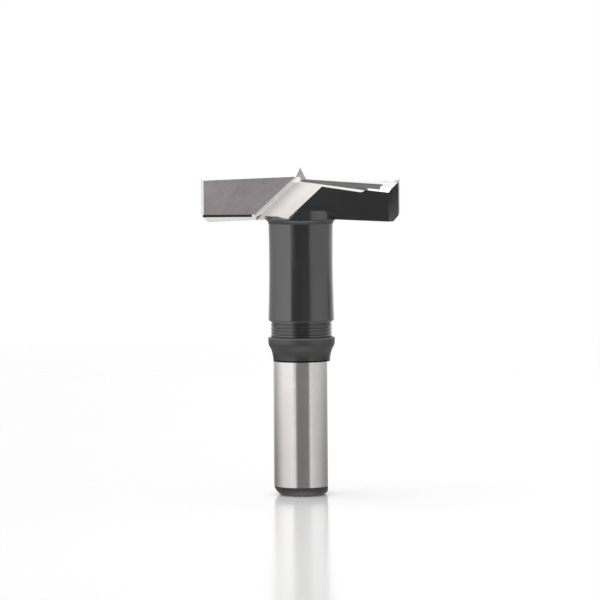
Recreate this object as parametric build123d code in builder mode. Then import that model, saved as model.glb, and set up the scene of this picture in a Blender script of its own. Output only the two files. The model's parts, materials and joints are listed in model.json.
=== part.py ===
"""Hinge boring bit: a one-piece steel tool body with two brazed carbide cutter plates.

Frame: the origin is on the shank's axis at its end face, Z runs up the axis towards the head,
the clamping flat faces +X, and the two wings of the head lie on -X (left) and +X (right).
All lengths are in millimetres. Everything on the head is made once, for the left wing,
and repeated half a turn round the axis.
"""
import os
from math import atan, cos, degrees, hypot, radians, sin, sqrt, tan

from build123d import *

# Overall sizes of the bit
cutting_diameter = 35.0
tip_height = 57.5

# Shank with its clamping flat
shank_r = 5.0
end_face_inset = 1.25
end_bulge_inset = 0.53
end_bulge_height = 0.55
end_chamfer_height = 1.58
shank_top = 23.55
clamping_flat_x = 4.45

# Ogee collar above the shank
collar_foot_r = 5.05
collar_r = 5.86
ogee_bottom = 24.2
ogee_middle = 25.8
ogee_top = 27.0
collar_top = 27.75
collar_edge_round = 0.18

# Undercut with turned grooves, below the neck, and its depth below the collar's edge
undercut_depth = 0.48
groove_pitch = 0.6
groove_depth = 0.12
groove_count = 5
neck_bottom = 30.68

# Waisted neck and its corner radius under the head
neck_r = 5.81
waist_r = 5.6
waist_below_head = 7.95
neck_top_r = 5.67
neck_corner_r = 0.79
neck_lead_in = 0.16

# Hub that stands out of the chip spaces: its step from the neck, height and milled top
hub_step = 0.75
hub_height = 1.6
hub_floor_height = 0.65
hub_floor_end = 4.1
hub_dip_height = 0.28
hub_dip_start = 2.7
hub_dip_end = 1.95
trough_r = 9.0
trough_axis_y = -0.5
trough_rise = 0.325

# Disc of the head, before the chip spaces are cut
underside_below_tip = 9.05
underside_fall = 0.45
steel_rim_r = 17.2
rim_chamfer_start = 16.16
rim_clearance_back = 15.35

# Rake side of a wing
rake_ahead = 1.2
edge_below_tip = 1.53
edge_drop = 0.035

# Gullet between a wing's rake face and the other wing's back face
gullet_upper_x = -0.35
gullet_upper_below_tip = 1.78
gullet_lower_x = -7.46
gullet_lower_below_tip = 8.40
gullet_curl_r = 7.1
gullet_curl_angle = 18.0
gullet_width = 3.9

# Back face of a wing: its depth from the axis, and its slant along the wing
back_depth = 1.35
back_slant = 0.20

# Painted steel relief behind the plate, and the ground land at the rim
relief_below_tip = 1.122
relief_fall = 0.002
relief_slope = 0.575
land_start = 14.4
land_below_tip = 1.95
land_slope = 0.40

# Ground bevel along the top of the back face
heel_bevel_x = 4.0
heel_bevel_below_tip = 3.325
heel_bevel_fall = 0.151
heel_bevel_slope = 3.0
heel_bevel_end = 11.6
heel_bevel_end_r = 1.1

# Carbide cutter plates
plate_thickness = 1.6
plate_floor_below_tip = 8.13
plate_inner_gap = 0.45
plate_relief = 0.30
plate_side_relief = 0.15
spur_valley = 16.3
spur_rise = 0.42
spur_face_slope = 1.73
spur_face_reach = 1.0
plate_end_chamfer = 0.12
side_strip_width = 0.5
side_strip_depth = 0.22

# Steel ledge under each plate
ledge_set_back = 0.3
ledge_height = 0.35
ledge_bevel_set_back = 0.25
ledge_bevel_lean = 0.575
ledge_inner = -8.55
ledge_bevel_runout = 0.3
seam_chamfer = 0.2

# Four-sided centring point
point_height = 2.9
point_flat = 0.16
point_half_diagonal_slope = 0.5
point_turn = -16.0

half_turn = 180.0
clear = 6.0
overrun = 1.0
nick = 0.02

# Radii and heights that follow from the sizes above
cutting_r = cutting_diameter / 2
end_face_r = shank_r - end_face_inset
hub_r = neck_top_r + hub_step
undercut_r = collar_r - undercut_depth
underside_at_hub = tip_height - underside_below_tip
underside_at_rim = underside_at_hub - underside_fall
waist_height = underside_at_hub - waist_below_head
hub_top = underside_at_hub + hub_height
edge_height_at_axis = tip_height - edge_below_tip
gullet_upper = (gullet_upper_x, tip_height - gullet_upper_below_tip)
gullet_lower = (gullet_lower_x, tip_height - gullet_lower_below_tip)
relief_height_at_axis = tip_height - relief_below_tip
heel_bevel_z = tip_height - heel_bevel_below_tip
plate_floor = tip_height - plate_floor_below_tip
ledge_front_bottom = plate_floor - ledge_height
point_base_height = tip_height - point_height
trough_axis_z = underside_at_hub + trough_r + trough_rise

# Direction of the gullet, up and inwards, and the direction square to it in the face
gullet_length = hypot(gullet_upper[0] - gullet_lower[0], gullet_upper[1] - gullet_lower[1])
along_x = (gullet_upper[0] - gullet_lower[0]) / gullet_length
along_z = (gullet_upper[1] - gullet_lower[1]) / gullet_length
gullet_plane = Plane(
    origin=(gullet_upper[0], 0, gullet_upper[1]),
    x_dir=(along_z, 0, -along_x),
    z_dir=(along_x, 0, along_z),
)


def seam_x(offset, height):
    """X of the line at this offset from the gullet's upper edge, at this height."""
    run = (height - gullet_upper[1]) * along_x / along_z
    return gullet_upper[0] + run + offset / along_z


# Space cleared from the hub's top on one side: a floor before the rake face, then a trough
with BuildPart() as hub_clearance:
    with BuildSketch(Plane.XZ) as hub_floor:
        floor_z = underside_at_hub + hub_floor_height
        dip_z = underside_at_hub + hub_dip_height
        rise = hub_height
        with BuildLine():
            Polyline(
                (-hub_r - overrun, floor_z),
                (-hub_floor_end, floor_z),
                (-hub_dip_start, dip_z),
                (-hub_dip_end, dip_z),
                (-hub_dip_end + rise, dip_z + rise),
                (-hub_dip_end + rise, hub_top + overrun),
                (-hub_r - overrun, hub_top + overrun),
                close=True,
            )
        make_face()
    extrude(amount=hub_r + overrun)
    with BuildSketch(Plane.YZ.offset(-hub_dip_end)) as trough_section:
        with Locations((trough_axis_y, trough_axis_z)):
            Circle(trough_r)
        with Locations((0, trough_axis_z)):
            Rectangle(2 * hub_r + clear, 2 * trough_r, align=(Align.MAX, Align.CENTER), mode=Mode.INTERSECT)
    extrude(amount=hub_r + hub_dip_end + overrun)

# Turned core: shank, collar, undercut, neck, corner radius and hub
with BuildPart() as turned_core:
    with BuildSketch(Plane.XZ) as core_section:
        with BuildLine():
            Line((0, 0), (end_face_r, 0))
            ThreePointArc(
                (end_face_r, 0),
                (shank_r - end_bulge_inset, end_bulge_height),
                (shank_r, end_chamfer_height),
            )
            Line((shank_r, end_chamfer_height), (shank_r, shank_top))
            Spline(
                (shank_r, shank_top),
                (collar_foot_r, ogee_bottom),
                ((collar_foot_r + collar_r) / 2, ogee_middle),
                (collar_r, ogee_top),
                tangents=((collar_foot_r - shank_r, ogee_bottom - shank_top), (0, 1)),
            )
            Line((collar_r, ogee_top), (collar_r, collar_top - collar_edge_round))
            RadiusArc(
                (collar_r, collar_top - collar_edge_round),
                (collar_r - collar_edge_round, collar_top),
                -collar_edge_round,
            )
            ridges = [(collar_r - collar_edge_round, collar_top), (undercut_r, collar_top)]
            groove_start = neck_bottom - groove_count * groove_pitch + groove_pitch / 4
            for groove in range(groove_count):
                low = groove_start + groove * groove_pitch
                ridges.append((undercut_r, low - groove_pitch * 0.30))
                ridges.append((undercut_r - groove_depth, low - groove_pitch * 0.12))
                ridges.append((undercut_r - groove_depth, low + groove_pitch * 0.12))
                ridges.append((undercut_r, low + groove_pitch * 0.30))
            ridges.append((undercut_r, neck_bottom))
            ridges.append((neck_r - neck_lead_in, neck_bottom))
            ridges.append((neck_r, neck_bottom + neck_lead_in))
            Polyline(*ridges)
            corner_x = neck_top_r + neck_corner_r
            corner_z = underside_at_hub - neck_corner_r
            ThreePointArc(
                (neck_r, neck_bottom + neck_lead_in),
                (waist_r, waist_height),
                (neck_top_r, corner_z),
            )
            hub_foot = corner_z + sqrt(max(neck_corner_r**2 - (corner_x - hub_r) ** 2, 0))
            RadiusArc((neck_top_r, corner_z), (hub_r, hub_foot), neck_corner_r)
            Line((hub_r, hub_foot), (hub_r, hub_top))
            Line((hub_r, hub_top), (0, hub_top))
            Line((0, hub_top), (0, 0))
        make_face()
    revolve(axis=Axis.Z)
    # Clamping flat along the whole shank
    with BuildSketch(Plane.XY) as flat_section:
        with Locations((clamping_flat_x + shank_r / 2, 0)):
            Rectangle(shank_r, 3 * shank_r)
    extrude(amount=shank_top, mode=Mode.SUBTRACT)
    add(hub_clearance.part, mode=Mode.SUBTRACT)
    add(hub_clearance.part, rotation=(0, 0, half_turn), mode=Mode.SUBTRACT)

# Space in front of the left wing's rake face and the curled gullet beside it
with BuildPart() as rake_space:
    with BuildSketch(gullet_plane) as gullet_section:
        curl_x = gullet_curl_r * sin(radians(gullet_curl_angle))
        curl_y = -rake_ahead - gullet_curl_r * (1 - cos(radians(gullet_curl_angle)))
        end_y = curl_y - (gullet_width - curl_x) * tan(radians(gullet_curl_angle))
        with BuildLine():
            Line((-cutting_r, -rake_ahead), (0, -rake_ahead))
            RadiusArc((0, -rake_ahead), (curl_x, curl_y), gullet_curl_r)
            Line((curl_x, curl_y), (gullet_width, end_y))
            Line((gullet_width, end_y), (gullet_width, -cutting_r - clear))
            Line((gullet_width, -cutting_r - clear), (-cutting_r, -cutting_r - clear))
            Line((-cutting_r, -cutting_r - clear), (-cutting_r, -rake_ahead))
        make_face()
    extrude(amount=cutting_r + clear, both=True)

# Space in front of the right wing's back face, as far as the gullet's lower edge
back_plane = Plane(
    origin=(0, -back_depth, tip_height - clear),
    x_dir=(1, -back_slant, 0),
    z_dir=(-back_slant, -1, 0),
)
with BuildPart() as back_space:
    with BuildSketch(back_plane) as back_outline:
        with Locations((-clear / 2, 0)):
            Rectangle(cutting_r + 2 * clear, 4 * clear, align=(Align.MIN, Align.CENTER))
    extrude(amount=cutting_r + clear)
    with BuildSketch(gullet_plane) as beyond_gullet:
        with Locations((gullet_width, clear)):
            Rectangle(3 * cutting_r, 3 * cutting_r, align=(Align.MIN, Align.MAX))
    extrude(amount=2 * cutting_r, both=True, mode=Mode.INTERSECT)

# Metal ground off above the left wing: the plate's own relief, carried on over the steel,
# then the steeper painted relief, then the land at the rim
relief_lead = 2.0
with BuildPart() as steel_relief:
    with BuildSketch(Plane.XZ.offset(rake_ahead + relief_lead)) as plate_relief_outline:
        start_z = edge_height_at_axis + relief_lead * plate_relief
        with BuildLine():
            Polyline(
                (0, start_z),
                (-cutting_r - overrun, start_z - edge_drop * (cutting_r + overrun)),
                (-cutting_r - overrun, tip_height + clear),
                (0, tip_height + clear),
                close=True,
            )
        make_face()
    extrude(amount=cutting_r, dir=(0, 1, -plate_relief))
    with BuildSketch(Plane.XZ.offset(rake_ahead)) as steel_relief_outline:
        with BuildLine():
            Polyline(
                (0, relief_height_at_axis),
                (-cutting_r - overrun, relief_height_at_axis - relief_fall * (cutting_r + overrun)),
                (-cutting_r - overrun, tip_height + clear),
                (0, tip_height + clear),
                close=True,
            )
        make_face()
    extrude(amount=cutting_r, dir=(0, 1, -relief_slope))
    with BuildSketch(Plane.XZ.offset(rake_ahead)) as land_outline:
        with BuildLine():
            Polyline(
                (-land_start, tip_height - land_below_tip),
                (-cutting_r - overrun, tip_height - land_below_tip),
                (-cutting_r - overrun, tip_height + clear),
                (-land_start, tip_height + clear),
                close=True,
            )
        make_face()
    extrude(amount=cutting_r, dir=(0, 1, -land_slope))

# Ground bevel along the top edge of the left wing's back face, run out in a round end
heel_y = back_depth + back_slant * heel_bevel_x
heel_x_dir = Vector(-1, back_slant, -heel_bevel_fall)
heel_up = Vector(0, heel_bevel_slope, 1)
heel_normal = heel_up - heel_x_dir * (heel_up.dot(heel_x_dir) / heel_x_dir.dot(heel_x_dir))
heel_plane = Plane(
    origin=(-heel_bevel_x, heel_y, heel_bevel_z),
    x_dir=heel_x_dir,
    z_dir=heel_normal,
)
with BuildPart() as heel_bevel:
    with BuildSketch(heel_plane) as heel_outline:
        straight = heel_bevel_end - heel_bevel_x - heel_bevel_end_r
        with Locations((straight, heel_bevel_end_r)):
            Rectangle(straight + clear, 2 * heel_bevel_end_r, align=(Align.MAX, Align.CENTER))
        with Locations((straight, heel_bevel_end_r)):
            Circle(heel_bevel_end_r)
    extrude(amount=clear / 2)

# Bevel under the left plate's ledge, run out at the gullet
with BuildPart() as ledge_bevel:
    bevel_face = -rake_ahead + ledge_bevel_set_back
    with BuildSketch(Plane.YZ.offset(-hub_r)) as ledge_bevel_section:
        with BuildLine():
            Polyline(
                (bevel_face - ledge_bevel_lean * overrun, ledge_front_bottom + overrun),
                (bevel_face + ledge_bevel_lean * 2 * overrun, ledge_front_bottom - 2 * overrun),
                (-rake_ahead - 2 * overrun, ledge_front_bottom - 2 * overrun),
                (-rake_ahead - 2 * overrun, ledge_front_bottom + overrun),
                close=True,
            )
        make_face()
    extrude(amount=-cutting_r)
    with BuildSketch(gullet_plane) as before_gullet:
        with Locations((ledge_bevel_runout, 0)):
            Rectangle(2 * cutting_r, 2 * cutting_r, align=(Align.MAX, Align.CENTER))
    extrude(amount=2 * cutting_r, both=True, mode=Mode.INTERSECT)

# Seat for the left cutter plate, with the ledge that carries it
with BuildPart() as plate_seat:
    with BuildSketch(Plane.XZ.offset(-(plate_thickness - rake_ahead))) as seat_outline:
        with BuildLine():
            Polyline(
                (seam_x(-plate_inner_gap, plate_floor), plate_floor),
                (seam_x(-plate_inner_gap, edge_height_at_axis), edge_height_at_axis),
                (seam_x(-plate_inner_gap, edge_height_at_axis), tip_height + clear),
                (-cutting_r - clear, tip_height + clear),
                (-cutting_r - clear, plate_floor),
                close=True,
            )
        make_face()
    extrude(amount=plate_thickness + clear)
    ledge_face = -rake_ahead + ledge_set_back
    with BuildSketch(Plane.YZ.offset(ledge_inner)) as ledge_section:
        with BuildLine():
            Polyline(
                (ledge_face, plate_floor + overrun),
                (ledge_face, ledge_front_bottom - overrun),
                (-rake_ahead - overrun, ledge_front_bottom - overrun),
                (-rake_ahead - overrun, plate_floor + overrun),
                close=True,
            )
        make_face()
    extrude(amount=-cutting_r)
    # Small chamfer on the steel along the seam with the plate
    with BuildSketch(gullet_plane) as seam_section:
        with BuildLine():
            Polyline(
                (-plate_inner_gap - nick, -rake_ahead + seam_chamfer + nick),
                (-plate_inner_gap + seam_chamfer + nick, -rake_ahead - nick),
                (-plate_inner_gap - nick, -rake_ahead - nick),
                close=True,
            )
        make_face()
    extrude(amount=cutting_r, both=True)

# Clearance at the left wing's rim: an outer face that falls away behind the plate, and a
# chamfer at the bottom corner
with BuildPart() as rim_clearance:
    plate_back_y = plate_thickness - rake_ahead
    back_corner_y = back_depth + back_slant * rim_clearance_back
    with BuildSketch(Plane.XY.offset(underside_at_rim - overrun)) as rim_plan:
        clearance_x = (steel_rim_r - rim_clearance_back) / (back_corner_y - plate_back_y)
        with BuildLine():
            Polyline(
                (-steel_rim_r, plate_back_y),
                (-steel_rim_r + clearance_x * clear, plate_back_y + clear),
                (-steel_rim_r - overrun, plate_back_y + clear),
                (-steel_rim_r - overrun, plate_back_y),
                close=True,
            )
        make_face()
    extrude(amount=tip_height - underside_at_rim + 2 * overrun)
    with BuildSketch(Plane.XZ.offset(clear)) as rim_corner:
        with BuildLine():
            Polyline(
                (-rim_chamfer_start + overrun, underside_at_rim - overrun),
                (-steel_rim_r - overrun, underside_at_rim + steel_rim_r - rim_chamfer_start + overrun),
                (-steel_rim_r - overrun, underside_at_rim - overrun),
                close=True,
            )
        make_face()
    extrude(amount=-2 * clear)

# Tool body: shank, neck and the two-winged head, one piece of steel
with BuildPart() as tool_body:
    with BuildSketch(Plane.XZ) as disc_section:
        with BuildLine():
            Line((0, corner_z), (neck_top_r, corner_z))
            RadiusArc((neck_top_r, corner_z), (corner_x, underside_at_hub), neck_corner_r)
            Line((corner_x, underside_at_hub), (steel_rim_r, underside_at_rim))
            Line((steel_rim_r, underside_at_rim), (steel_rim_r, tip_height))
            Line((steel_rim_r, tip_height), (0, tip_height))
            Line((0, tip_height), (0, corner_z))
        make_face()
    revolve(axis=Axis.Z)
    add(steel_relief.part, mode=Mode.SUBTRACT)
    add(steel_relief.part, rotation=(0, 0, half_turn), mode=Mode.SUBTRACT)
    # Centring point, turned so that one edge looks forwards
    point_half_diagonal = point_height * point_half_diagonal_slope
    with BuildSketch(Plane.XY.offset(point_base_height)) as point_base:
        RegularPolygon(point_half_diagonal, 4, rotation=point_turn)
    extrude(
        amount=point_height - point_flat,
        taper=degrees(atan(point_half_diagonal_slope * cos(radians(45.0)))),
    )
    add(rake_space.part, mode=Mode.SUBTRACT)
    add(rake_space.part, rotation=(0, 0, half_turn), mode=Mode.SUBTRACT)
    add(back_space.part, mode=Mode.SUBTRACT)
    add(back_space.part, rotation=(0, 0, half_turn), mode=Mode.SUBTRACT)
    add(heel_bevel.part, mode=Mode.SUBTRACT)
    add(heel_bevel.part, rotation=(0, 0, half_turn), mode=Mode.SUBTRACT)
    add(rim_clearance.part, mode=Mode.SUBTRACT)
    add(rim_clearance.part, rotation=(0, 0, half_turn), mode=Mode.SUBTRACT)
    add(plate_seat.part, mode=Mode.SUBTRACT)
    add(plate_seat.part, rotation=(0, 0, half_turn), mode=Mode.SUBTRACT)
    add(ledge_bevel.part, mode=Mode.SUBTRACT)
    add(ledge_bevel.part, rotation=(0, 0, half_turn), mode=Mode.SUBTRACT)
    add(turned_core.part)

# Left cutter plate: straight edge with a raised spur at the rim
with BuildPart() as cutter_plate_left:
    outer_front_x = -sqrt(cutting_r**2 - rake_ahead**2)
    with BuildSketch(Plane.XY.offset(plate_floor)) as plate_plan:
        with BuildLine():
            Polyline(
                (overrun, -rake_ahead),
                (outer_front_x, -rake_ahead),
                (outer_front_x + plate_side_relief, plate_back_y),
                (overrun, plate_back_y),
                close=True,
            )
        make_face()
    extrude(amount=tip_height - plate_floor)
    # Relief behind the cutting edge and the spur
    edge_at_valley = edge_height_at_axis - edge_drop * spur_valley
    with BuildSketch(Plane.XZ.offset(rake_ahead + overrun)) as edge_outline:
        shift = overrun * plate_relief
        with BuildLine():
            Polyline(
                (2 * overrun, edge_height_at_axis + 2 * overrun * edge_drop + shift),
                (-spur_valley, edge_at_valley + shift),
                (-cutting_r - overrun, edge_at_valley + spur_rise * (cutting_r + overrun - spur_valley) + shift),
                (-cutting_r - overrun, tip_height + clear),
                (2 * overrun, tip_height + clear),
                close=True,
            )
        make_face()
    extrude(amount=clear, dir=(0, 1, -plate_relief), mode=Mode.SUBTRACT)
    # Slicing face of the spur, ground back from the rake face
    with BuildSketch(Plane.YZ.offset(-spur_valley)) as spur_face:
        spur_foot = edge_at_valley - edge_drop * (cutting_r - spur_valley)
        with BuildLine():
            Polyline(
                (-rake_ahead - spur_face_reach, spur_foot - spur_face_reach * spur_face_slope),
                (-rake_ahead + spur_face_reach, spur_foot + spur_face_reach * spur_face_slope),
                (-rake_ahead - spur_face_reach, spur_foot + spur_face_reach * spur_face_slope),
                close=True,
            )
        make_face()
    extrude(amount=-cutting_r, mode=Mode.SUBTRACT)
    # Inner end, cut along the gullet, with its seam chamfer
    with BuildSketch(gullet_plane) as inner_end:
        with BuildLine():
            Polyline(
                (-plate_inner_gap, clear),
                (-plate_inner_gap, -rake_ahead + plate_end_chamfer),
                (-plate_inner_gap - plate_end_chamfer - nick, -rake_ahead - nick),
                (-plate_inner_gap - plate_end_chamfer - nick, -clear),
                (clear, -clear),
                (clear, clear),
                close=True,
            )
        make_face()
    extrude(amount=cutting_r, both=True, mode=Mode.SUBTRACT)
    # Narrow lapped strip along the outer edge of the front face
    with BuildSketch(Plane.XY.offset(plate_floor - overrun)) as strip_section:
        with BuildLine():
            Polyline(
                (outer_front_x + side_strip_width, -rake_ahead),
                (outer_front_x, -rake_ahead + side_strip_depth),
                (outer_front_x - overrun, -rake_ahead + side_strip_depth),
                (outer_front_x - overrun, -rake_ahead - overrun),
                (outer_front_x + side_strip_width, -rake_ahead - overrun),
                close=True,
            )
        make_face()
    extrude(amount=tip_height - plate_floor + 2 * overrun, mode=Mode.SUBTRACT)

# Right cutter plate: the same plate half a turn round the axis
with BuildPart() as cutter_plate_right:
    add(cutter_plate_left.part, rotation=(0, 0, half_turn))

tool_body.part.label = "tool_body"
cutter_plate_left.part.label = "cutter_plate_left"
cutter_plate_right.part.label = "cutter_plate_right"

os.makedirs("parts", exist_ok=True)
export_step(tool_body.part, "parts/tool_body.step")
export_step(cutter_plate_left.part, "parts/cutter_plate_left.step")
export_step(cutter_plate_right.part, "parts/cutter_plate_right.step")
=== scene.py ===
# %% [markdown]
# # A hinge boring bit
# The object is a 35 mm boring bit that stands on the end of its ground shank. Its solids come from
# the CAD model in metres, in the place that they have here, so Blender adds only what CAD leaves out:
# smooth and crisp shading, a sharp point, the ground and painted finishes, the braze in the seams,
# and the studio. A cube, a lamp and a camera that Blender starts with are removed.

# %% Load the CAD model
import bpy
import json
import math
from mathutils import Matrix, Vector

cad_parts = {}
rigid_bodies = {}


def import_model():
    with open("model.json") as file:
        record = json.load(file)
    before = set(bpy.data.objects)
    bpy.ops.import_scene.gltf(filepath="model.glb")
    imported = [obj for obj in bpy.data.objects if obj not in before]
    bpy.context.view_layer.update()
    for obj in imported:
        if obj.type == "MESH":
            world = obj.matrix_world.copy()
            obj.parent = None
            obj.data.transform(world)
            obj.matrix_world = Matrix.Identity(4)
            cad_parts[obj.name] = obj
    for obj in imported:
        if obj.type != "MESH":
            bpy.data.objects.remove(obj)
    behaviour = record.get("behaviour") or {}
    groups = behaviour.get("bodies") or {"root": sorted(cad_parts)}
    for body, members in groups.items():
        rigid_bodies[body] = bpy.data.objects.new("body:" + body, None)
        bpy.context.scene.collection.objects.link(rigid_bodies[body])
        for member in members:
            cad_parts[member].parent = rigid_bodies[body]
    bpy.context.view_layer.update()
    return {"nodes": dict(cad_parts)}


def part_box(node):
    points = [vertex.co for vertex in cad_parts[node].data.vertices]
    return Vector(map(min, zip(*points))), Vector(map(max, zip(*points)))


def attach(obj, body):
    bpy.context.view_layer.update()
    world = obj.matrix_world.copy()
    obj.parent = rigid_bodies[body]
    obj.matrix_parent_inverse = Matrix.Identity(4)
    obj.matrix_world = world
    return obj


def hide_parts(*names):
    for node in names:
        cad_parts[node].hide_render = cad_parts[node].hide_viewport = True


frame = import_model()
MM = 0.001
for leftover in [o for o in bpy.context.scene.objects if o.name in ("Cube", "Light", "Camera")]:
    bpy.data.objects.remove(leftover)
for solid in sorted(frame["nodes"]):
    low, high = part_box(solid)
    print(solid, "spans", [round(value / MM, 2) for value in (*low, *high)], "mm")

# %% [markdown]
# ## One clean mesh out of loose triangles
# A CAD node arrives as loose triangles. Rules that give each face its finish, and edges that are
# marked sharp, need whole faces that share their edges. So each node is copied, its doubled points
# are merged, and triangles that lie in one plane are dissolved into one face. A remesh modifier
# would close the mesh too, but it would round off the ground edges. The shading normals that came
# with the triangles no longer fit, so they are cleared. The CAD node itself is left alone.

# %% Merge a copy of a node
WELD_DISTANCE = 0.0004 * MM
FLAT_WITHIN = math.radians(0.03)


def select_only(piece):
    """Deselects everything and makes one piece active."""
    bpy.ops.object.select_all(action="DESELECT")
    piece.select_set(True)
    bpy.context.view_layer.objects.active = piece


def merged_copy(solid, name):
    """A welded copy of a CAD node with its flat areas dissolved into single faces."""
    source = frame["nodes"][solid]
    piece = bpy.data.objects.new(name, source.data.copy())
    bpy.context.scene.collection.objects.link(piece)
    select_only(piece)
    bpy.ops.mesh.customdata_custom_splitnormals_clear()
    bpy.ops.object.mode_set(mode="EDIT")
    bpy.ops.mesh.select_all(action="SELECT")
    bpy.ops.mesh.remove_doubles(threshold=WELD_DISTANCE)
    bpy.ops.mesh.dissolve_limited(angle_limit=FLAT_WITHIN, use_dissolve_boundaries=False)
    bpy.ops.object.mode_set(mode="OBJECT")
    piece.data.materials.clear()
    print(name, "has", len(piece.data.vertices), "points and", len(piece.data.polygons), "faces")
    return piece


body = merged_copy("tool_body", "bit_body")
plates = {side: merged_copy("cutter_plate_" + side, "carbide_plate_" + side)
          for side in ("left", "right")}

# %% [markdown]
# ## A sharp point
# The CAD solid ends in a tiny flat, so that its checks find no needle. The real point is ground until
# its four sides meet. A new cone could be set on top, but its sides would have to match the old ones.
# Here the flat is raised a little and merged into one corner, so the sides stay what they are.

# %% Sharpen the centring point
POINT_FLAT_HEIGHT = 57.3 * MM
POINT_GAIN = 0.24 * MM
select_only(body)
bpy.ops.object.mode_set(mode="EDIT")
bpy.ops.mesh.select_mode(type="FACE")
bpy.ops.mesh.select_all(action="DESELECT")
bpy.ops.object.mode_set(mode="OBJECT")
for face in body.data.polygons:
    face.select = face.center.z > POINT_FLAT_HEIGHT
print("faces on top of the point:", sum(face.select for face in body.data.polygons))
bpy.ops.object.mode_set(mode="EDIT")
bpy.ops.transform.translate(value=(0.0, 0.0, POINT_GAIN))
bpy.ops.mesh.merge(type="CENTER")
bpy.ops.object.mode_set(mode="OBJECT")

# %% [markdown]
# ## Finishes out of nodes
# Every finish here is a metal, a paint or carbide, whose look comes from fine marks in its tone, its
# roughness and its surface. Pictures of such marks could be wrapped round the bit, but they would
# show seams. Noise that is worked out from each point's place in the piece has none, so all finishes
# are nodes on Object coordinates. These helpers add nodes, fill them, and start a finish.

# %% Helpers that add nodes
def fill(tree, made, **inputs):
    """Fills or links inputs of a node, each by its name or by its place, where i0 is the first."""
    for key, value in inputs.items():
        socket = made.inputs[int(key[1:])] if key[1:].isdigit() else made.inputs[key.replace("_", " ")]
        if isinstance(value, bpy.types.NodeSocket):
            tree.links.new(value, socket)
        else:
            socket.default_value = value


def node(tree, kind, settings=None, **inputs):
    """Adds a node, sets its properties and fills its inputs."""
    made = tree.nodes.new(kind)
    for key, value in (settings or {}).items():
        setattr(made, key, value)
    fill(tree, made, **inputs)
    return made


def new_finish(name):
    """An empty node material with its shader and its Object coordinates."""
    finish = bpy.data.materials.new(name)
    finish.use_nodes = True
    tree = finish.node_tree
    tree.nodes.clear()
    output = tree.nodes.new("ShaderNodeOutputMaterial")
    shader = tree.nodes.new("ShaderNodeBsdfPrincipled")
    coords = tree.nodes.new("ShaderNodeTexCoord")
    tree.links.new(shader.outputs[0], output.inputs["Surface"])
    return finish, tree, shader, coords.outputs["Object"]


def describe(finish):
    """Prints how many nodes a finish is made of."""
    print("finish", finish.name, "has", len(finish.node_tree.nodes), "nodes")

# %% [markdown]
# ## Marks, tones and relief
# A grinding wheel leaves marks that run one way. Noise looks like them when it is stretched: many
# marks per metre across the wheel's path and few along it. The same noise then drives the tone, the
# roughness and a bump, so that a mark that is seen is also felt by the light.

# %% Helpers for marks, tones and relief
WHOLE = (0.0, 1.0)
USUAL = (0.3, 0.7)


def streaks(tree, coords, stretch, turn=(0.0, 0.0, 0.0), detail=3.0):
    """Noise from 0 to 1, with marks per metre along each axis given by stretch after the turn."""
    placed = node(tree, "ShaderNodeMapping", Vector=coords, Rotation=turn)
    scaled = node(tree, "ShaderNodeMapping", Vector=placed.outputs[0], Scale=stretch)
    made = node(tree, "ShaderNodeTexNoise", Vector=scaled.outputs[0], Scale=1.0, Detail=detail)
    return made.outputs[0]


def spread(tree, value, low, high, source=USUAL):
    """Maps a value from its source range, which is the usual one of noise, to low and high."""
    return node(tree, "ShaderNodeMapRange", Value=value, From_Min=source[0], From_Max=source[1],
                To_Min=low, To_Max=high).outputs[0]


def mixed(tree, factor, first, second):
    """A colour between two others, which are sockets or three numbers, by a factor from 0 to 1."""
    ends = [(*colour, 1.0) if isinstance(colour, tuple) else colour for colour in (first, second)]
    made = node(tree, "ShaderNodeMix", {"data_type": "RGBA"}, i0=factor, i6=ends[0], i7=ends[1])
    return made.outputs[2]


def toned(tree, noise, first, second, source=USUAL):
    """A colour that runs from the first to the second with a noise."""
    return mixed(tree, spread(tree, noise, *WHOLE, source), first, second)


def raise_surface(tree, shader, height, depth):
    """Gives the shader small relief: height from 0 to 1 over a depth in metres."""
    bump = node(tree, "ShaderNodeBump", Height=height, Distance=depth, Strength=1.0)
    fill(tree, shader, Normal=bump.outputs[0])

# %% [markdown]
# ## Ground steel on the shank
# The shank is centreless ground: a bright surface with very fine marks that run round it. They are
# too fine to see one by one, but they spread each reflection up and down the shank. An anisotropic
# shader could spread it too, but it needs tangents, and the stretched noise works without them.

# %% Ground shank steel
shank_steel, tree, shader, coords = new_finish("ground_shank_steel")
rings = streaks(tree, coords, (500.0, 500.0, 16000.0))
cloud = streaks(tree, coords, (140.0, 140.0, 90.0), detail=2.0)
tone = toned(tree, cloud, (0.80, 0.777, 0.765), (0.90, 0.875, 0.862))
fill(tree, shader, Base_Color=tone, Roughness=spread(tree, rings, 0.11, 0.20), Metallic=1.0)
raise_surface(tree, shader, rings, 0.0009 * MM)
describe(shank_steel)

# %% [markdown]
# ## Milled and ground steel in the gullets
# A gullet is cut by a wheel that runs along it, so its marks follow the slope of the seam between
# steel and carbide. The two ends of that slope, as x and z in mm, are known from the CAD model, and
# the marks are turned to it. The steel is satin here, so it is only partly a metal: the rest of its
# brightness is plain diffuse light, which no dark part of the tent can take away.

# %% Gullet steel
SEAM_FOOT = Vector((-7.46, 49.10))
SEAM_HEAD = Vector((-0.35, 55.72))
rise = SEAM_HEAD - SEAM_FOOT
seam_slope = math.atan2(rise.y, rise.x)
gullet_steel, tree, shader, coords = new_finish("gullet_steel")
marks = streaks(tree, coords, (350.0, 2500.0, 9000.0), turn=(0.0, seam_slope, 0.0))
cloud = streaks(tree, coords, (260.0, 260.0, 260.0), detail=2.0)
tone = toned(tree, cloud, (0.86, 0.83, 0.80), (0.95, 0.917, 0.885))
fill(tree, shader, Base_Color=tone, Roughness=spread(tree, marks, 0.28, 0.42), Metallic=0.6)
raise_surface(tree, shader, marks, 0.0022 * MM)
describe(gullet_steel)
print("the seam rises by", round(math.degrees(seam_slope), 1), "degrees")

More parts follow.
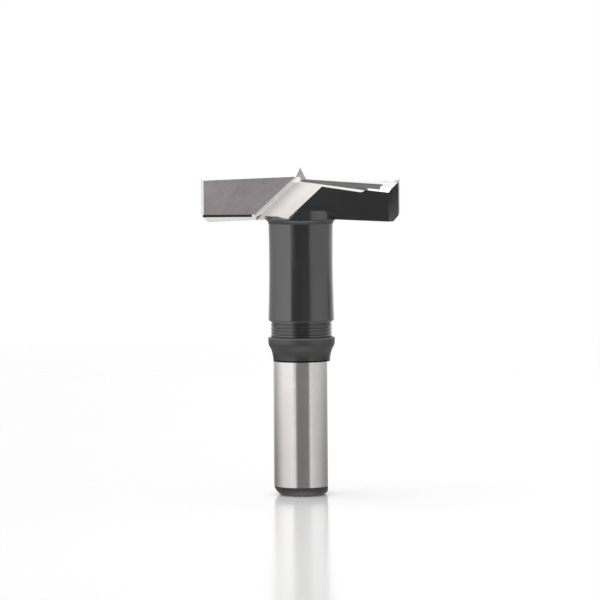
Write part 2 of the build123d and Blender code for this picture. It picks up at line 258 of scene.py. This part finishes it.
# %% [markdown]
# ## Ground steel on the clearance faces
# The lands and the bevels under the ledges are ground last, after the painting, so they are bare and
# bright, with short straight marks across them. It is the shank's steel with a coarser wheel, so it
# is made in the same way with fewer and larger marks.

# %% Ground land steel
land_steel, tree, shader, coords = new_finish("ground_land_steel")
marks = streaks(tree, coords, (7000.0, 900.0, 900.0))
cloud = streaks(tree, coords, (220.0, 220.0, 220.0), detail=2.0)
tone = toned(tree, cloud, (0.74, 0.735, 0.73), (0.82, 0.815, 0.81))
fill(tree, shader, Base_Color=tone, Roughness=spread(tree, marks, 0.22, 0.34), Metallic=1.0)
raise_surface(tree, shader, marks, 0.0015 * MM)
describe(land_steel)

# %% [markdown]
# ## The centring point
# The point is ground on each side by a coarse wheel, which leaves it greyer and visibly striped. The
# stripes could be a noise of their own, but they are the wheel's marks, so here the marks drive the
# tone too.

# %% Point steel
point_steel, tree, shader, coords = new_finish("point_steel")
marks = streaks(tree, coords, (1500.0, 1500.0, 9000.0))
tone = toned(tree, marks, (0.20, 0.198, 0.196), (0.50, 0.495, 0.49))
fill(tree, shader, Base_Color=tone, Roughness=spread(tree, marks, 0.30, 0.45), Metallic=1.0)
raise_surface(tree, shader, marks, 0.004 * MM)
describe(point_steel)

# %% [markdown]
# ## Places on a wing
# Some finishes begin and end on lines that no edge of the steel follows. More edges could be cut for
# them, but a sum of coordinates that passes a limit draws such a line without any. The wings are the
# same but for half a turn, so the coordinates are first made alike for both. They are x, the distance
# from the middle plane, and z on the side that faces the camera, and x changes its sign behind it.

# %% Helpers for places on a wing
def maths(tree, operation, *values):
    """The result of one Math node, whose values are numbers or sockets."""
    inputs = {f"i{place}": value for place, value in enumerate(values)}
    return node(tree, "ShaderNodeMath", {"operation": operation}, **inputs).outputs[0]


def side_coordinates(tree, coords):
    """Place along a wing, away from its middle plane, and up, all in mm and alike for both wings."""
    parts = node(tree, "ShaderNodeSeparateXYZ", Vector=coords)
    along = maths(tree, "MULTIPLY", parts.outputs[0], maths(tree, "SIGN", parts.outputs[1]))
    depth = maths(tree, "ABSOLUTE", parts.outputs[1])
    return (maths(tree, "DIVIDE", along, -MM), maths(tree, "DIVIDE", depth, MM),
            maths(tree, "DIVIDE", parts.outputs[2], MM))


def weighted(tree, terms, offset=0.0):
    """The sum of values times their weights, plus an offset."""
    total = offset
    for value, weight in terms:
        total = maths(tree, "MULTIPLY_ADD", value, weight, total)
    return total


def ease(tree, value, start, end):
    """A soft step from 0 where a value is at its start to 1 where it is at its end."""
    return node(tree, "ShaderNodeMapRange", {"interpolation_type": "SMOOTHSTEP"}, Value=value,
                From_Min=start, From_Max=end).outputs[0]


def over(tree, value, edge, soft=0.03):
    """A soft step from 0 to 1 where a value rises past an edge."""
    return ease(tree, value, edge - soft, edge + soft)


def under(tree, value, edge, soft=0.03):
    """A soft step from 0 to 1 where a value falls past an edge."""
    return ease(tree, value, edge + soft, edge - soft)

# %% [markdown]
# ## Braze in the seams
# The plates are brazed on, and a silver line of filler shows along each seam: a bright fillet on the
# chamfer, a thin dark scratch where it ends, and a bright ground strip beyond. Their near-white tone,
# hardly a metal, is partly the filler and the steel and partly a painted highlight for the glint on
# the seam. All three are bands at a distance from the end of the carbide, which runs on a slope, so
# that distance is worked out across the slope. The strip is under half a millimetre wide, so a pattern
# does for it what faces could.

# %% Seam silver
CARBIDE_END_ALONG, CARBIDE_END_UP = -1.36, 55.40
SCRATCH_START, SCRATCH_END = 0.21, 0.31
seam_silver_and_painted_highlight, tree, shader, coords = new_finish("seam_silver_and_painted_highlight")
along, _, up = side_coordinates(tree, coords)
sine, cosine = math.sin(seam_slope), math.cos(seam_slope)
across = weighted(tree, [(along, sine), (up, -cosine)],
                  CARBIDE_END_UP * cosine - CARBIDE_END_ALONG * sine)
scratch = maths(tree, "SUBTRACT", over(tree, across, SCRATCH_START), over(tree, across, SCRATCH_END))
grain = streaks(tree, coords, (900.0, 900.0, 900.0))
# Partly painted highlight: the near-white tone is the filler and the steel and also the seam's glint.
bright = toned(tree, grain, (0.92, 0.91, 0.90), (0.99, 0.98, 0.97))
tone = mixed(tree, scratch, bright, (0.38, 0.375, 0.37))
fill(tree, shader, Base_Color=tone, Roughness=spread(tree, grain, 0.35, 0.50), Metallic=0.05)
raise_surface(tree, shader, grain, 0.003 * MM)
describe(seam_silver_and_painted_highlight)

# %% [markdown]
# ## Black lacquer
# Neck, hub and wings are sprayed with a thin black lacquer over turned steel. Its gloss is high, and
# a faint orange-peel shows in the reflections. A clear coat over black would do as well, but one
# layer with a high index of refraction is simpler and mirrors as strongly.

# %% Black lacquer
black_lacquer, tree, shader, coords = new_finish("black_lacquer")
peel = streaks(tree, coords, (1500.0, 1500.0, 1500.0), detail=2.0)
cloud = streaks(tree, coords, (160.0, 160.0, 160.0), detail=4.0)
tone = toned(tree, cloud, (0.003, 0.003, 0.0031), (0.007, 0.007, 0.0071))
fill(tree, shader, Base_Color=tone, Roughness=spread(tree, cloud, 0.11, 0.16), IOR=2.2)
raise_surface(tree, shader, peel, 0.0012 * MM)
describe(black_lacquer)

# %% [markdown]
# ## The collar's paint
# The collar has the same black paint, but laid on duller, most of all on its upper part, so it blurs
# what it mirrors, and so have the undersides of the grooves and of the hub. At the collar's foot a thin
# dead-black line is painted shade: it stands for the shade in the crease where the collar meets the
# shank. It is made as a metal of the same black, because a black metal mirrors nothing.

# %% Collar paint
PAINTED_SHADE_LINE_TOP, PAINTED_SHADE_LINE_SOFT = 23.80 * MM, 0.04 * MM
DULL_ABOVE, DULL_SOFT = 25.0 * MM, 0.7 * MM
collar_black, tree, shader, coords = new_finish("collar_black")
height = node(tree, "ShaderNodeSeparateXYZ", Vector=coords).outputs[2]
cloud = streaks(tree, coords, (160.0, 160.0, 160.0), detail=4.0)
tone = toned(tree, cloud, (0.004, 0.004, 0.0041), (0.008, 0.008, 0.0081))
# Painted shade: the dead-black line stands for the shade in the crease where the collar meets the shank.
painted_shade_line = under(tree, height, PAINTED_SHADE_LINE_TOP, PAINTED_SHADE_LINE_SOFT)
dullness = spread(tree, over(tree, height, DULL_ABOVE, DULL_SOFT), 0.22, 0.40, WHOLE)
fill(tree, shader, Base_Color=tone, Roughness=dullness, Metallic=painted_shade_line, IOR=2.08)
describe(collar_black)

# %% [markdown]
# ## Paint that is ground off again
# The sloping tops of the wings are painted too, but duller, and then partly ground bare: along the
# heel, along a narrow strip at the back, in a round patch near the rim, and at the rim itself. One
# finish mixes paint and bare steel by a mask, because the paint has no thickness that would need
# faces of its own. Each part of the mask is measured in mm from the edges of the wing, and has a
# slightly soft border.

# %% The mask of the bare steel
BACK_AT_AXIS, BACK_SLANT = 1.35, 0.2
HEEL_LINE_AT_AXIS, HEEL_LINE_FALL, HEEL_RISE = 54.779, 0.135, 0.28
HEEL_WIDTH, STRIP_WIDTH = 0.3, 0.55
HEEL_END, STRIP_START, RIM_START = 11.7, 11.75, 14.55
PATCH_ALONG, PATCH_FROM_BACK = 14.69, 0.70
PATCH_STRETCH_ALONG, PATCH_STRETCH_BACK = 1.25, 0.77
relief_paint, tree, shader, coords = new_finish("relief_paint")
along, depth, up = side_coordinates(tree, coords)
from_back = weighted(tree, [(along, BACK_SLANT), (depth, -1.0)], BACK_AT_AXIS)
below_line = weighted(tree, [(along, -HEEL_LINE_FALL), (up, -1.0)], HEEL_LINE_AT_AXIS)
heel = maths(tree, "MULTIPLY", over(tree, below_line, -HEEL_RISE), under(tree, from_back, HEEL_WIDTH))
heel = maths(tree, "MULTIPLY", heel, under(tree, along, HEEL_END, soft=0.2))
strip = maths(tree, "MULTIPLY", under(tree, from_back, STRIP_WIDTH, soft=0.06),
              over(tree, along, STRIP_START, soft=0.25))
reach = node(tree, "ShaderNodeCombineXYZ",
             X=weighted(tree, [(along, PATCH_STRETCH_ALONG)], -PATCH_ALONG * PATCH_STRETCH_ALONG),
             Y=weighted(tree, [(from_back, PATCH_STRETCH_BACK)], -PATCH_FROM_BACK * PATCH_STRETCH_BACK))
reach = node(tree, "ShaderNodeVectorMath", {"operation": "LENGTH"}, i0=reach.outputs[0])
patch = under(tree, reach.outputs["Value"], 1.0, soft=0.05)
bare = maths(tree, "MAXIMUM", maths(tree, "MAXIMUM", heel, strip), patch)
bare = maths(tree, "MAXIMUM", bare, over(tree, along, RIM_START, soft=0.05))
print("the mask takes", len(tree.nodes), "nodes")

# %% [markdown]
# The paint is streaky, as if a wheel had brushed it, so its tone runs with a stretched noise. Where
# the mask is 1, the same shader turns into ground steel: it takes the steel's colour and becomes a
# metal. Two shaders could be blended instead, but one is simpler to export.

# %% Relief paint with its bare patches
runs = streaks(tree, coords, (230.0, 1400.0, 2400.0))
marks = streaks(tree, coords, (7000.0, 900.0, 900.0))
paint = toned(tree, runs, (0.002, 0.002, 0.002), (0.072, 0.071, 0.070), source=(0.38, 0.62))
tone = mixed(tree, bare, paint, (0.79, 0.785, 0.78))
fill(tree, shader, Base_Color=tone, Roughness=spread(tree, marks, 0.22, 0.34), Metallic=bare, IOR=1.5)
raise_surface(tree, shader, marks, 0.0015 * MM)
describe(relief_paint)

# %% [markdown]
# ## The blackened end
# The rounded end of the shank is left as the heat treatment made it: a dull black skin, not lacquer.
# A thin shell round the end could carry it, but the skin has no thickness of its own. So it is only
# a finish: a rough black that barely mirrors, with small pits for its scale.

# %% Blackened end
end_black, tree, shader, coords = new_finish("blackened_end")
skin = streaks(tree, coords, (900.0, 900.0, 2500.0), detail=4.0)
tone = toned(tree, skin, (0.018, 0.0175, 0.018), (0.034, 0.033, 0.034))
fill(tree, shader, Base_Color=tone, Roughness=spread(tree, skin, 0.38, 0.50), IOR=1.6)
raise_surface(tree, shader, skin, 0.003 * MM)
describe(end_black)

# %% [markdown]
# ## Carbide
# The cutter plates are tungsten carbide, ground with a diamond wheel: a dense purple-grey with a
# silky sheen and faint marks that cross the plate on the slant. A plain grey metal would look like
# the steel beside it, so its tone is darker and purple. Two noises make that tone, one slanted and
# one cloudy, because the slanted one alone would look combed.

# %% Carbide
WHEEL_TURN = (0.0, math.radians(48), 0.0)
SLANT_SHARE, CLOUD_SHARE = 0.4, 0.6
carbide, tree, shader, coords = new_finish("ground_carbide")
marks = streaks(tree, coords, (500.0, 4000.0, 12000.0), turn=WHEEL_TURN)
slants = streaks(tree, coords, (500.0, 500.0, 2200.0), turn=WHEEL_TURN, detail=4.0)
cloud = streaks(tree, coords, (180.0, 180.0, 180.0), detail=5.0)
mottle = weighted(tree, [(slants, SLANT_SHARE), (cloud, CLOUD_SHARE)])
tone = toned(tree, mottle, (0.458, 0.418, 0.429), (0.662, 0.605, 0.622))
fill(tree, shader, Base_Color=tone, Roughness=spread(tree, marks, 0.36, 0.46), Metallic=1.0)
raise_surface(tree, shader, marks, 0.0016 * MM)
describe(carbide)

# %% [markdown]
# ## The ground edges of the carbide
# The clearance faces behind the cutting edges are ground finer than the rake face, nearly polished.
# They are the same carbide, smoother and less of a mirror, but with a much lighter, almost white tone.
# That tone is a painted sheen, which keeps them light even where they face a dark part of the tent.

# %% Carbide edges
carbide_edge_painted_sheen, tree, shader, coords = new_finish("fine_ground_carbide_painted_sheen")
marks = streaks(tree, coords, (6000.0, 900.0, 900.0))
# Painted sheen: the near-white tone keeps these faces light whatever part of the tent they face.
tone = toned(tree, marks, (0.84, 0.825, 0.83), (0.92, 0.905, 0.91))
fill(tree, shader, Base_Color=tone, Roughness=spread(tree, marks, 0.20, 0.30), Metallic=0.35)
raise_surface(tree, shader, marks, 0.001 * MM)
describe(carbide_edge_painted_sheen)

# %% [markdown]
# ## Which face has which finish
# Faces could be picked one by one in a window. In code they are picked by what makes them differ. On
# the head that is the direction that a face looks in, and the box that its centre lies in. The bit
# looks the same after half a turn, so each rule is tried on a face and on its twin, and the first
# that holds gives the finish. What no rule takes is lacquered.

# %% Rules for the faces of the head
FINISHES = [black_lacquer, shank_steel, gullet_steel, land_steel, relief_paint, point_steel,
            end_black, seam_silver_and_painted_highlight, collar_black]
LACQUER, SHANK, GULLET, LAND, RELIEF, POINT, END, SEAM, COLLAR = range(len(FINISHES))
POINT_ZONE = ((-2.0, 2.0), (-2.0, 2.0), (55.0, 58.0))
GULLET_ZONE = ((-9.0, 3.9), (-2.4, -1.1), (48.3, 56.0))
RULES = [
    # finish, direction, degrees of leeway, then the ranges of x, y and z in mm
    (POINT, (0.457, -0.825, 0.333), 4, POINT_ZONE),
    (POINT, (0.825, 0.457, 0.333), 4, POINT_ZONE),
    (LAND, (0.034, -0.287, 0.957), 3, ((-2.0, 18.0), (-3.0, 1.0), (54.0, 56.5))),
    (LAND, (0.0, -0.371, 0.928), 3, ((14.39, 18.0), (-5.0, 0.0), (53.0, 56.5))),
    (LAND, (1.0, 0.0, 0.0), 3, ((14.3, 14.5), (-5.0, 0.0), (53.0, 56.5))),
    (RELIEF, (0.002, -0.498, 0.867), 3, ((-1.0, 16.0), (-5.0, 0.0), (53.0, 56.5))),
    (RELIEF, (-0.135, -0.931, 0.340), 4, ((0.8, 12.5), (-4.0, 0.0), (52.5, 56.5))),
    (GULLET, (-0.135, -0.931, 0.340), 4, ((-3.0, 0.8), (-4.0, 0.0), (52.5, 56.5))),
    (LAND, (0.202, 0.310, 0.929), 4, ((-3.0, 4.0), (-3.0, 0.0), (53.0, 56.5))),
    (LAND, (1.0, 0.0, 0.0), 3, ((-0.1, 0.1), (-2.0, 0.0), (54.5, 56.5))),
    (SEAM, (0.0, -1.0, 0.0), 1, ((-9.0, 2.5), (-1.21, -1.19), (48.3, 56.0))),
    (GULLET, (-0.050, -0.997, 0.060), 4, GULLET_ZONE),
    (GULLET, (-0.107, -0.988, 0.114), 5, GULLET_ZONE),
    (GULLET, (-0.160, -0.972, 0.170), 4, GULLET_ZONE),
    (GULLET, (-0.211, -0.951, 0.226), 4, GULLET_ZONE),
    (SEAM, (-0.482, -0.707, 0.518), 4, ((-9.0, 2.5), (-1.4, -0.9), (48.3, 56.0))),
    (LAND, (0.0, -0.867, -0.498), 4, ((-18.0, -6.0), (-1.4, -0.4), (47.9, 49.4))),
]
print(len(FINISHES), "finishes of the steel and", len(RULES), "rules for the head")

# %% [markdown]
# Below the head, the heights of the shank's end, of the shank and of the collar decide. Between the
# collar and the head only what faces down is duller, which is the undersides of the grooves and of
# the hub. A plate has two finishes: its rake face has one, and all that is ground behind it has the
# other.

# %% Give each face its finish
END_TOP, SHANK_TOP, COLLAR_TOP, UNDERSIDES_TOP = 1.6, 23.56, 28.0, 48.43
SHANK_REACH, HUB_REACH = 5.01, 6.6
FACES_DOWN = -0.05
RAKE_FACE = 0.99


def finish_of(centre, normal):
    """The finish of a face by its height and radius, or by the first rule that it or its twin meets."""
    radius = math.hypot(centre.x, centre.y) / MM
    height = centre.z / MM
    if height < END_TOP:
        return END
    if height < COLLAR_TOP:
        return SHANK if height < SHANK_TOP and radius < SHANK_REACH else COLLAR
    if height < UNDERSIDES_TOP and radius < HUB_REACH and normal.z < FACES_DOWN:
        return COLLAR
    for twin in (1, -1):
        spot = Vector((centre.x * twin, centre.y * twin, centre.z)) / MM
        looks = Vector((normal.x * twin, normal.y * twin, normal.z))
        for finish, direction, leeway, zone in RULES:
            near = looks.angle(Vector(direction)) < math.radians(leeway)
            if near and all(low < value < high for value, (low, high) in zip(spot, zone)):
                return finish
    return LACQUER


for finish in FINISHES:
    body.data.materials.append(finish)
counts = [0] * len(FINISHES)
for face in body.data.polygons:
    face.material_index = finish_of(face.center, face.normal)
    counts[face.material_index] += 1
print("faces by finish:", dict(zip([finish.name for finish in FINISHES], counts)))
for side, plate in plates.items():
    plate.data.materials.append(carbide)
    plate.data.materials.append(carbide_edge_painted_sheen)
    rake_side = -1 if side == "left" else 1
    for face in plate.data.polygons:
        face.material_index = 0 if face.normal.y * rake_side > RAKE_FACE else 1

# %% [markdown]
# ## Smooth turned faces and crisp cut edges
# Small rounds are made of few facets that meet at wide angles, while the ground faces of the head
# meet at narrow ones. So shading by one angle can't tell them apart: an edge of the head is sharp
# from 9 degrees up, and an edge of the turned core below it from 32 degrees up. An edge on the border
# between head and core is sharp too, and so is an edge where two finishes meet.

# %% Smooth what is turned and keep what is cut
CUT_ANGLE, TURNED_ANGLE = 9, 32
HEAD_FOOT = 48.44 * MM
BORDER_SLACK = 0.03 * MM


def crisp_edges(piece, narrow, wide, border):
    """Smooth shading, with sharp edges above and below a height by their own angle."""
    select_only(piece)
    bpy.ops.object.shade_smooth()
    bpy.ops.object.mode_set(mode="EDIT")
    bpy.ops.mesh.select_mode(type="EDGE")
    for angle, above_border in ((narrow, True), (wide, False)):
        bpy.ops.mesh.select_all(action="DESELECT")
        bpy.ops.mesh.edges_select_sharp(sharpness=math.radians(angle))
        bpy.ops.object.mode_set(mode="OBJECT")
        points = piece.data.vertices
        for edge in piece.data.edges:
            height = (points[edge.vertices[0]].co.z + points[edge.vertices[1]].co.z) / 2
            if (height > border) != above_border:
                edge.select = False
        bpy.ops.object.mode_set(mode="EDIT")
        bpy.ops.mesh.mark_sharp()
    bpy.ops.object.mode_set(mode="OBJECT")
    finishes_at = {}
    for face in piece.data.polygons:
        for key in face.edge_keys:
            finishes_at.setdefault(key, set()).add(face.material_index)
    for edge in piece.data.edges:
        ends = [points[index].co.z for index in edge.vertices]
        on_border = all(abs(height - border) < BORDER_SLACK for height in ends)
        edge.use_edge_sharp = edge.use_edge_sharp or on_border or len(finishes_at[edge.key]) > 1
    print(piece.name, "has", sum(edge.use_edge_sharp for edge in piece.data.edges), "sharp edges")


crisp_edges(body, CUT_ANGLE, TURNED_ANGLE, HEAD_FOOT)
for plate in plates.values():
    crisp_edges(plate, CUT_ANGLE, CUT_ANGLE, 0.0)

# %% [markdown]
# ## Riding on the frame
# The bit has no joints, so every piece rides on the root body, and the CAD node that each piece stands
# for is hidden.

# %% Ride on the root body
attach(body, "root")
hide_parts("tool_body")
for side, plate in plates.items():
    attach(plate, "root")
    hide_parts("cutter_plate_" + side)
print("pieces on the root body:", body.name, *[plate.name for plate in plates.values()])

# %% [markdown]
# ## The table
# The bit stands on a smooth white table. It is slightly glossy, so it mirrors the shank softly. A
# plane that ends would show its edge, and one without end would need a horizon, so the table fades
# out and lets the white world show beyond it.

# %% The table
TABLE_SIZE = 1.6
FADE_START, FADE_END = 0.10, 0.50
bpy.ops.object.select_all(action="DESELECT")
bpy.ops.mesh.primitive_plane_add(size=TABLE_SIZE)
table = bpy.context.object
table.name = "studio_table"
white, tree, shader, coords = new_finish("white_table")
haze = streaks(tree, coords, (6.0, 6.0, 6.0), detail=2.0)
shade = toned(tree, haze, (0.94, 0.94, 0.94), (0.96, 0.96, 0.96))
fill(tree, shader, Base_Color=shade, Roughness=0.16, IOR=1.38)
away = node(tree, "ShaderNodeVectorMath", {"operation": "LENGTH"}, i0=coords)
fade = ease(tree, away.outputs["Value"], FADE_START, FADE_END)
clear = node(tree, "ShaderNodeBsdfTransparent")
blend = node(tree, "ShaderNodeMixShader", i0=fade, i1=shader.outputs[0], i2=clear.outputs[0])
tree.links.new(blend.outputs[0], tree.nodes["Material Output"].inputs["Surface"])
table.data.materials.append(white)
table.visible_glossy = False
describe(white)

# %% [markdown]
# ## The light tent
# Polished metal shows its surroundings, so the surroundings are what makes it look like metal. A
# photographer puts such a tool in a tent of white cloth with a dark opening at the front. Lamps and
# cards could be set up one by one, but here one large ball round the bit does for all of them: only
# reflections see it, and its brightness depends on the place where they meet it. That place is given
# by a bearing, which is 0 at the camera and positive to the right, and by a level, which is the sine
# of its elevation. The panels that the head and the neck see stand on a slant, so for them the
# bearing leans with the level.

# %% The ball of the tent
TENT_RADIUS = 1.5
LEAN_LEVELS = (-0.09, -0.03)
LEAN_BELOW, LEAN_ABOVE = math.radians(7.5), math.radians(-3.0)
bpy.ops.mesh.primitive_uv_sphere_add(segments=48, ring_count=24, radius=TENT_RADIUS)
tent = bpy.context.object
tent.name = "studio_tent"
cloth = bpy.data.materials.new("tent_cloth")
cloth.use_nodes = True
tree = cloth.node_tree
tree.nodes.clear()
direction = node(tree, "ShaderNodeVectorMath", {"operation": "NORMALIZE"},
                 i0=node(tree, "ShaderNodeTexCoord").outputs["Object"])
parts = node(tree, "ShaderNodeSeparateXYZ", Vector=direction.outputs[0])
level = parts.outputs[2]
bearing = maths(tree, "ARCTAN2", parts.outputs[0], maths(tree, "MULTIPLY", parts.outputs[1], -1.0))
lean = spread(tree, level, LEAN_BELOW, LEAN_ABOVE, LEAN_LEVELS)
leaned = maths(tree, "ADD", maths(tree, "ABSOLUTE", bearing), lean)
leaned = maths(tree, "MULTIPLY", leaned, maths(tree, "SIGN", bearing))
print("the tent is a ball of", TENT_RADIUS, "m radius")

# %% [markdown]
# ## Three rings of cloth
# A real tent is near, so the head, the neck and the shank each see another part of it. The camera sees
# each of them a little steeper from above than the last, so three rings of cloth, one below another,
# do the same here. Each ring is a list of bearings in degrees with the brightness there: dark in
# front, where the camera looks in, bright at the left, and a little dimmer at the right.

# %% The rings of the tent
HEAD_PANELS = [
    (-180, 1.00), (-158, 0.80), (-136, 0.48), (-114, 0.60), (-92, 0.84), (-60, 1.02), (-37, 1.08),
    (-30, 0.20), (-2, 0.181), (0, 0.18), (3, 0.26), (24, 0.22), (35, 0.62), (60, 0.70), (85, 0.62),
    (102, 0.46), (109, 0.02), (149, 0.02), (159, 0.80), (170, 1.00)]
NECK_PANELS = [
    (-180, 1.20), (-158, 0.95), (-136, 0.64), (-114, 0.69), (-92, 0.89), (-60, 0.96), (-37, 1.00),
    (-30, 0.16), (0, 0.14), (24, 0.16), (35, 0.48), (60, 0.59), (85, 0.60), (112, 0.62), (128, 0.90),
    (150, 1.30), (170, 1.40)]
SHANK_PANELS = [
    (-180, 1.00), (-158, 0.55), (-138, 0.34), (-117, 0.50), (-97, 0.78), (-80, 1.00), (-60, 1.06),
    (-28, 1.24), (-21, 0.27), (0, 0.26), (28, 0.28), (32, 1.05), (50, 0.82), (64, 0.69),
    (79, 0.60), (95, 0.44), (115, 0.38), (135, 0.60), (170, 1.00)]


def ring(tree, angle, panels):
    """One ring of the tent: its brightness at each angle, blended from panel to panel."""
    share = spread(tree, angle, *WHOLE, (-math.pi, math.pi))
    ramp = node(tree, "ShaderNodeValToRGB", i0=share)
    stops = ramp.color_ramp.elements
    while len(stops) < len(panels):
        stops.new(0.5)
    for stop, (degrees, bright) in zip(stops, panels):
        stop.position = degrees / 360 + 0.5
        stop.color = (bright, bright, bright, 1.0)
    return ramp.outputs[0]


head_ring = ring(tree, leaned, HEAD_PANELS)
neck_ring = ring(tree, leaned, NECK_PANELS)
shank_ring = ring(tree, bearing, SHANK_PANELS)
print("panels in the rings:", len(HEAD_PANELS), len(NECK_PANELS), len(SHANK_PANELS))

# %% [markdown]
# ## One tent out of the rings
# The rings are laid one over another by level, with soft borders between them, and the shank's ring
# dims on the way down. Above them the cloth is bright all round. Gloss doesn't see the table, so a
# grey floor stands in for it below the rings, and turns bright right under the bit.

# %% Stack the rings and light the cloth
NECK_BORDER = (-0.0055, -0.0025)
SHANK_BORDER = (-0.056, -0.047)
DIM_FROM, DIM_TO = -0.070, -0.106
DIM_AT_TOP, DIM_AT_BOTTOM = 1.10, 0.56
ROOF_START, ROOF_END = 0.14, 0.30
FLOOR_START, FLOOR_END = -0.18, -0.40
UNDERFOOT_START, UNDERFOOT_END = -0.84, -0.91
ROOF_TONE, FLOOR_TONE, UNDERFOOT_TONE = (1.12,) * 3, (0.42,) * 3, (1.50,) * 3
dimmed = spread(tree, level, DIM_AT_TOP, DIM_AT_BOTTOM, (DIM_FROM, DIM_TO))
shank_ring = node(tree, "ShaderNodeVectorMath", {"operation": "SCALE"}, i0=shank_ring, Scale=dimmed)
rings = mixed(tree, ease(tree, level, *SHANK_BORDER), shank_ring.outputs[0], neck_ring)
rings = mixed(tree, ease(tree, level, *NECK_BORDER), rings, head_ring)
floor_tone = mixed(tree, ease(tree, level, UNDERFOOT_START, UNDERFOOT_END), FLOOR_TONE, UNDERFOOT_TONE)
lifted = mixed(tree, ease(tree, level, ROOF_START, ROOF_END), rings, ROOF_TONE)
floored = mixed(tree, ease(tree, level, FLOOR_START, FLOOR_END), lifted, floor_tone)
glow = node(tree, "ShaderNodeEmission", Color=floored, Strength=1.0)
node(tree, "ShaderNodeOutputMaterial", Surface=glow.outputs[0])
cloth.cycles.emission_sampling = "NONE"
tent.data.materials.append(cloth)
tent.visible_camera = False
tent.visible_diffuse = False
tent.visible_shadow = False
tent.visible_transmission = False
describe(cloth)

# %% [markdown]
# ## World and lamp
# The world is white where the camera or glass sees it, and fills the shadows softly for the rest.
# Gloss sees the tent in its place, so the world itself is hidden from gloss. One large lamp above
# gives the table its light and the soft shadow under the bit. A sun would cast too hard a shadow.

# %% World and lamp
SEEN_LEVEL, FILL_LEVEL = 1.0, 0.70
LAMP_PLACE = Vector((-0.25, 0.05, 0.85))
LAMP_WIDTH, LAMP_WATTS = 0.8, 3.8
BIT_MIDDLE = Vector((0.0, 0.0, 0.03))
world = bpy.data.worlds.new("white_studio")
world.use_nodes = True
bpy.context.scene.world = world
world.cycles_visibility.glossy = False
tree = world.node_tree
tree.nodes.clear()
path = node(tree, "ShaderNodeLightPath")
seen = maths(tree, "MAXIMUM", path.outputs["Is Camera Ray"], path.outputs["Is Glossy Ray"])
seen = maths(tree, "MAXIMUM", seen, path.outputs["Is Transmission Ray"])
strength = spread(tree, seen, FILL_LEVEL, SEEN_LEVEL, WHOLE)
sky = node(tree, "ShaderNodeBackground", Color=(1.0, 1.0, 1.0, 1.0), Strength=strength)
node(tree, "ShaderNodeOutputWorld", Surface=sky.outputs[0])
bpy.ops.object.light_add(type="AREA", location=LAMP_PLACE)
lamp = bpy.context.object
lamp.name = "overhead_softbox"
lamp.data.size = LAMP_WIDTH
lamp.data.energy = LAMP_WATTS
lamp.rotation_euler = (BIT_MIDDLE - LAMP_PLACE).to_track_quat("-Z", "Y").to_euler()
print(lamp.name, "is", LAMP_WIDTH, "m wide and gives", LAMP_WATTS, "W")

# %% [markdown]
# ## The camera
# The photograph is taken from a little above with a long lens, straight at the wings. The camera
# stands 600 mm away and 68 mm up, looks down by about three degrees, and leans by a hair. A nearer
# camera would bend the rings of the collar and the grooves more than the photograph shows them.

# %% The camera
CAMERA_PLACE = (-0.00022, -0.600, 0.068)
LOOK_DOWN, LEAN = 3.219, -0.42
LENS, SENSOR_WIDTH, NEAREST = 205.2, 36.0, 0.01
bpy.ops.object.camera_add(location=CAMERA_PLACE)
camera = bpy.context.object
camera.name = "photo_camera"
look = Matrix.Rotation(math.radians(90 - LOOK_DOWN), 3, "X") @ Matrix.Rotation(math.radians(LEAN), 3, "Z")
camera.rotation_euler = look.to_euler()
camera.data.lens = LENS
camera.data.sensor_width = SENSOR_WIDTH
camera.data.clip_start = NEAREST
bpy.context.scene.camera = camera
bpy.context.scene.view_settings.view_transform = "Standard"
print(camera.name, "has a lens of", LENS, "mm")
